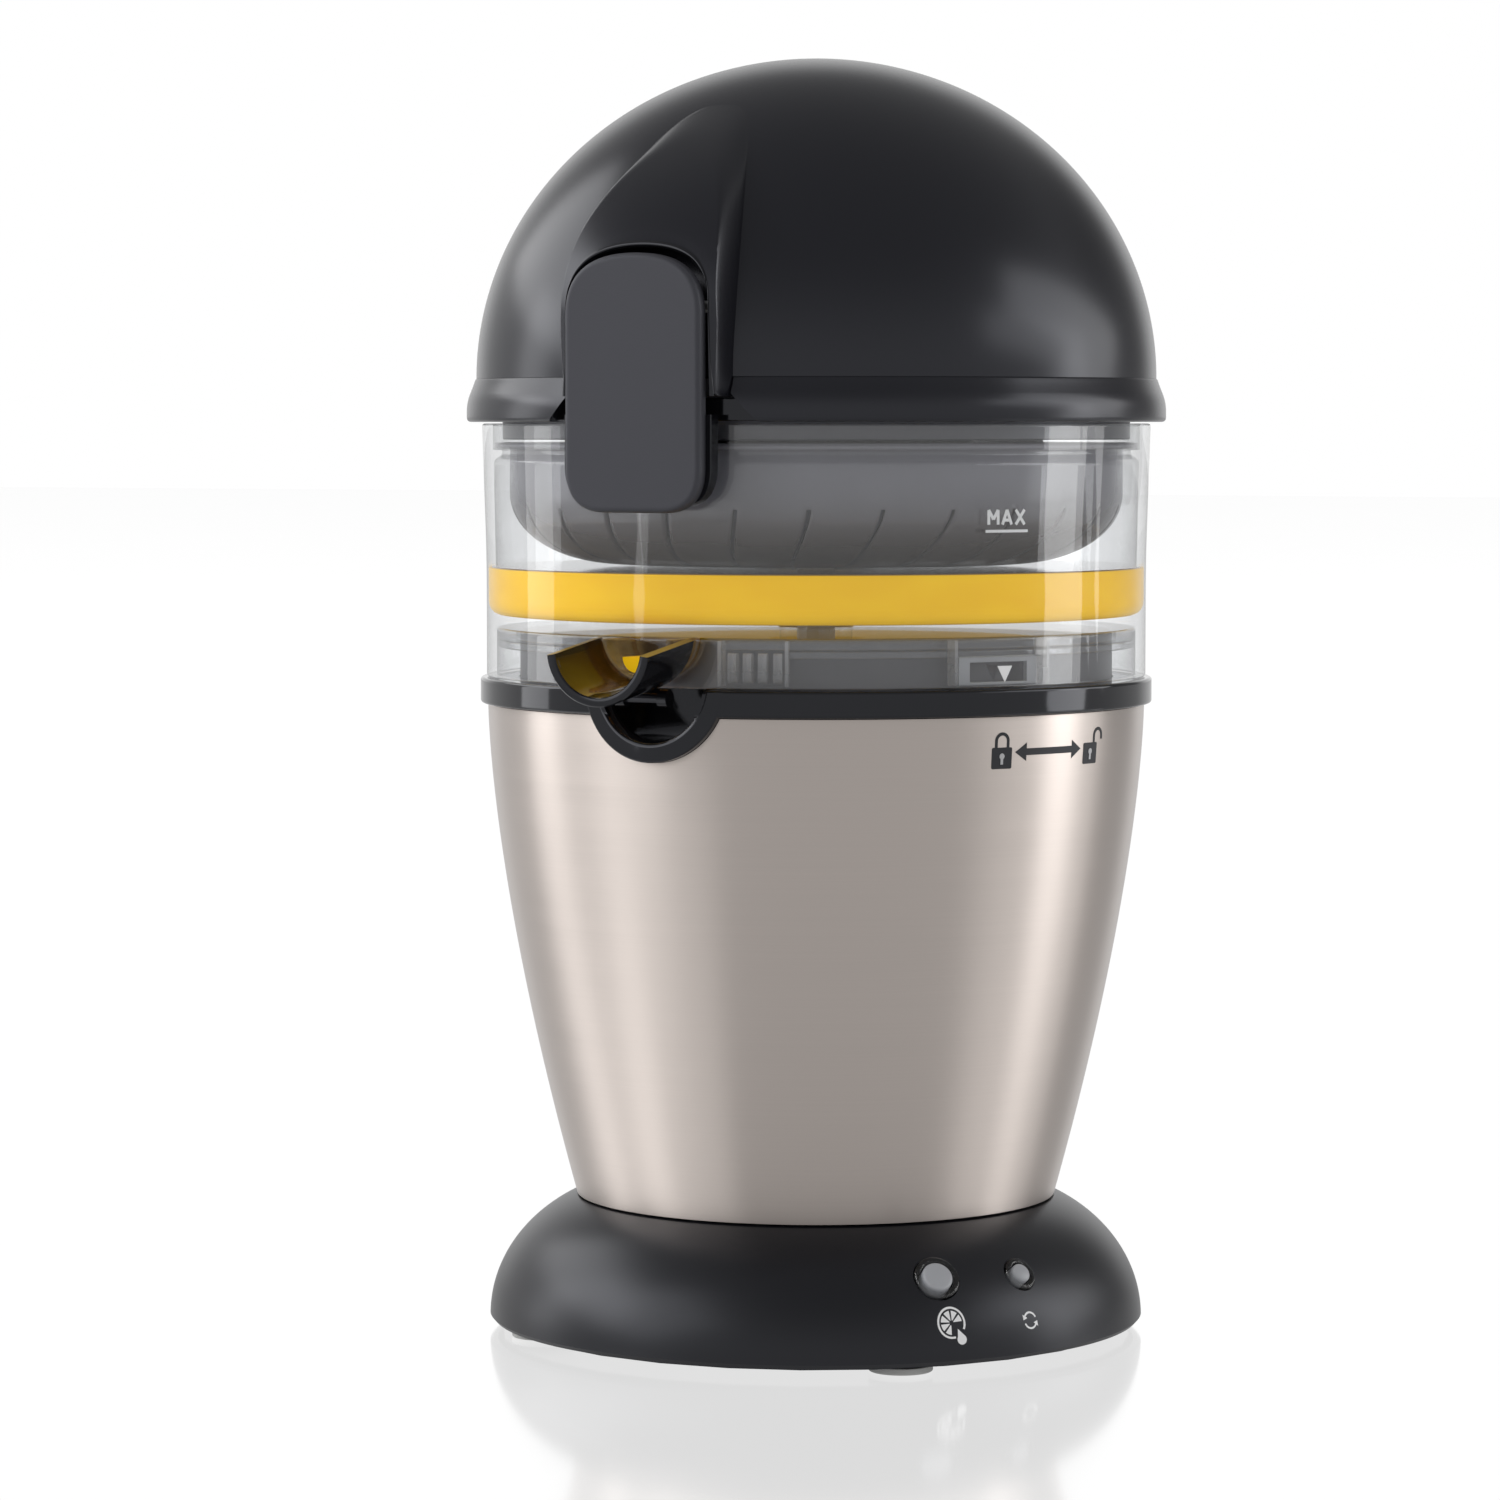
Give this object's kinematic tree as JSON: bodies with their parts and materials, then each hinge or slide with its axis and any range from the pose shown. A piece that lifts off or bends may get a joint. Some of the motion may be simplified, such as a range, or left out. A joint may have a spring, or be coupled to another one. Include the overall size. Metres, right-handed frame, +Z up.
{
  "type": "citrus press juicer",
  "caption": "Electric citrus press with a domed press lid, two latches, a clear juice bowl with a drip spout, and a tapered steel motor body on a wide flared foot.",
  "frame": {"origin": "on the upright axis at table level, 2 mm under the centre of the bottom plate's underside", "axes": "+Z up the machine's axis, -Y the front with the spout, +X the side with the two buttons"},
  "size_m": [0.18, 0.2067, 0.3273],
  "materials": {
    "satin_black": "satin",
    "gloss_black": "gloss",
    "matte_charcoal": "fine texture",
    "dark_grey": "matte",
    "brushed_steel": "brushed around",
    "plain_steel": "plain",
    "brass": "turned",
    "clear_plastic": "clear",
    "smoky_plastic": "clear, smoky",
    "rubber_grey": "matte",
    "nylon": "matte",
    "circuit_board": "satin"
  },
  "bodies": {
    "housing": {"base_shell": "satin_black", "bottom_plate": "satin_black", "steel_sleeve": "brushed_steel", "inner_housing": "dark_grey", "collar_ring": "gloss_black", "top_deck": "dark_grey", "spindle_seal": "rubber_grey", "upper_bearing": "brass", "lower_bearing": "brass", "motor_mount_plate": "plain_steel", "motor_can": "plain_steel", "motor_end_cap": "plain_steel", "motor_stator": "dark_grey", "gearbox_case": "dark_grey", "gearbox_cover": "dark_grey", "idler_pin": "plain_steel", "control_board": "circuit_board", "cord_gland": "satin_black", "foot_front_right": "rubber_grey", "foot_rear_right": "rubber_grey", "foot_rear_left": "rubber_grey", "foot_front_left": "rubber_grey", "bottom_screw_1": "plain_steel", "bottom_screw_2": "plain_steel", "bottom_screw_3": "plain_steel", "bottom_screw_4": "plain_steel", "gearbox_screw_1": "plain_steel", "gearbox_screw_2": "plain_steel", "gearbox_screw_3": "plain_steel", "start_bezel": "clear_plastic", "start_spring": "plain_steel", "start_switch": "dark_grey", "reverse_bezel": "clear_plastic", "reverse_spring": "plain_steel", "reverse_switch": "dark_grey"},
    "rotor": {"motor_rotor": "plain_steel"},
    "idler": {"idler_gear": "nylon"},
    "output": {"output_gear": "nylon", "drive_spindle": "plain_steel", "reamer": "smoky_plastic"},
    "bowl": {"juice_bowl": "clear_plastic", "strainer": "smoky_plastic", "spout_pin": "plain_steel"},
    "spout": {"drip_spout": "gloss_black"},
    "lid": {"lid_shell": "satin_black", "lid_rim": "satin_black", "lid_liner": "gloss_black", "press_guide": "satin_black", "press_spring": "plain_steel", "latch_pin_front": "plain_steel", "latch_pin_rear": "plain_steel"},
    "press": {"press_cup": "satin_black", "press_stem": "satin_black"},
    "front_latch": {"latch_front": "matte_charcoal"},
    "rear_latch": {"latch_rear": "matte_charcoal"},
    "start_key": {"start_button": "dark_grey"},
    "reverse_key": {"reverse_button": "dark_grey"}
  },
  "joints": [
    {"name": "reamer_spin", "type": "hinge", "parent": "housing", "child": "output", "pos_m": [0, 0, 0.134], "axis": [0, 0, 1], "continuous": true},
    {"name": "idler_spin", "type": "hinge", "parent": "housing", "child": "idler", "pos_m": [0.0285, 0, 0.122], "axis": [0, 0, 1], "continuous": true},
    {"name": "rotor_spin", "type": "hinge", "parent": "housing", "child": "rotor", "pos_m": [0.0045, 0, 0.08], "axis": [0, 0, 1], "continuous": true},
    {"name": "bowl_twist", "type": "hinge", "parent": "housing", "child": "bowl", "pos_m": [0, 0, 0.169], "axis": [0, 0, 1], "range_deg": [0, 22]},
    {"name": "spout_tip_up", "type": "hinge", "parent": "bowl", "child": "spout", "pos_m": [0, -0.089, 0.167], "axis": [-1, 0, 0], "range_deg": [0, 10]},
    {"name": "lid_lift", "type": "slide", "parent": "bowl", "child": "lid", "axis": [0, 0, 1], "range_m": [0, 0.15]},
    {"name": "press_slide", "type": "slide", "parent": "lid", "child": "press", "axis": [0, 0, 1], "range_m": [0, 0.022], "stiffness_N_per_m": 150, "springref_m": -0.02, "deforming": ["press_spring"]},
    {"name": "front_latch_swing", "type": "hinge", "parent": "lid", "child": "front_latch", "pos_m": [0, -0.0895, 0.262], "axis": [-1, 0, 0], "range_deg": [0, 25]},
    {"name": "rear_latch_swing", "type": "hinge", "parent": "lid", "child": "rear_latch", "pos_m": [0, 0.0895, 0.262], "axis": [1, 0, 0], "range_deg": [0, 25]},
    {"name": "start_press", "type": "slide", "parent": "housing", "child": "start_key", "axis": [-0.6034, 0.4886, -0.6302], "range_m": [0, 0.0015], "stiffness_N_per_m": 300, "springref_m": -0.001, "deforming": ["start_spring"]},
    {"name": "reverse_press", "type": "slide", "parent": "housing", "child": "reverse_key", "axis": [-0.7431, 0.2867, -0.6047], "range_m": [0, 0.0015], "stiffness_N_per_m": 300, "springref_m": -0.001, "deforming": ["reverse_spring"]}
  ],
  "couplings": [
    {"joint": "idler_spin", "follows": "reamer_spin", "ratio": -2.8},
    {"joint": "rotor_spin", "follows": "reamer_spin", "ratio": 6.16}
  ]
}
